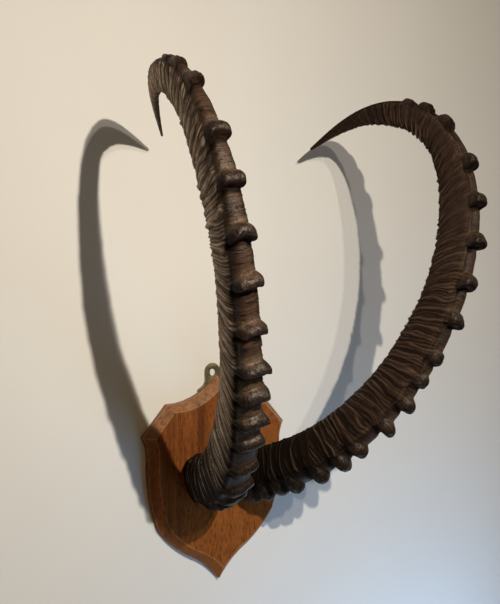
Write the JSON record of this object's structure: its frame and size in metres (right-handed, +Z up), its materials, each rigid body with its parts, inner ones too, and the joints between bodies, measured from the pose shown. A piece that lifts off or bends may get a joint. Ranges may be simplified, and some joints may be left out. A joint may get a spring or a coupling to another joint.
{
  "type": "mounted ibex horns",
  "caption": "Ibex horns with knobbed fronts that sweep out, up and back from a small bevelled oak wall shield, which hangs by a metal eye plate behind its top.",
  "frame": {"origin": "on the back face of the shield, midway between the two horns' bases", "axes": "+X to the right as one faces the wall, +Y into the wall, +Z up"},
  "size_m": [0.4101, 0.2892, 0.5963],
  "materials": {
    "horn": "dark ridged horn, worn smooth and slightly glossy on the front",
    "oak": "stained and waxed oak",
    "plate": "dull tarnished metal",
    "screw": "dull old steel"
  },
  "bodies": {
    "root": {"horn_left": "horn", "horn_right": "horn", "shield_board": "oak", "hanger_plate": "plate", "hanger_screw_left": "screw", "hanger_screw_right": "screw", "horn_screw_left_upper": "screw", "horn_screw_left_lower": "screw", "horn_screw_right_upper": "screw", "horn_screw_right_lower": "screw"}
  },
  "joints": []
}
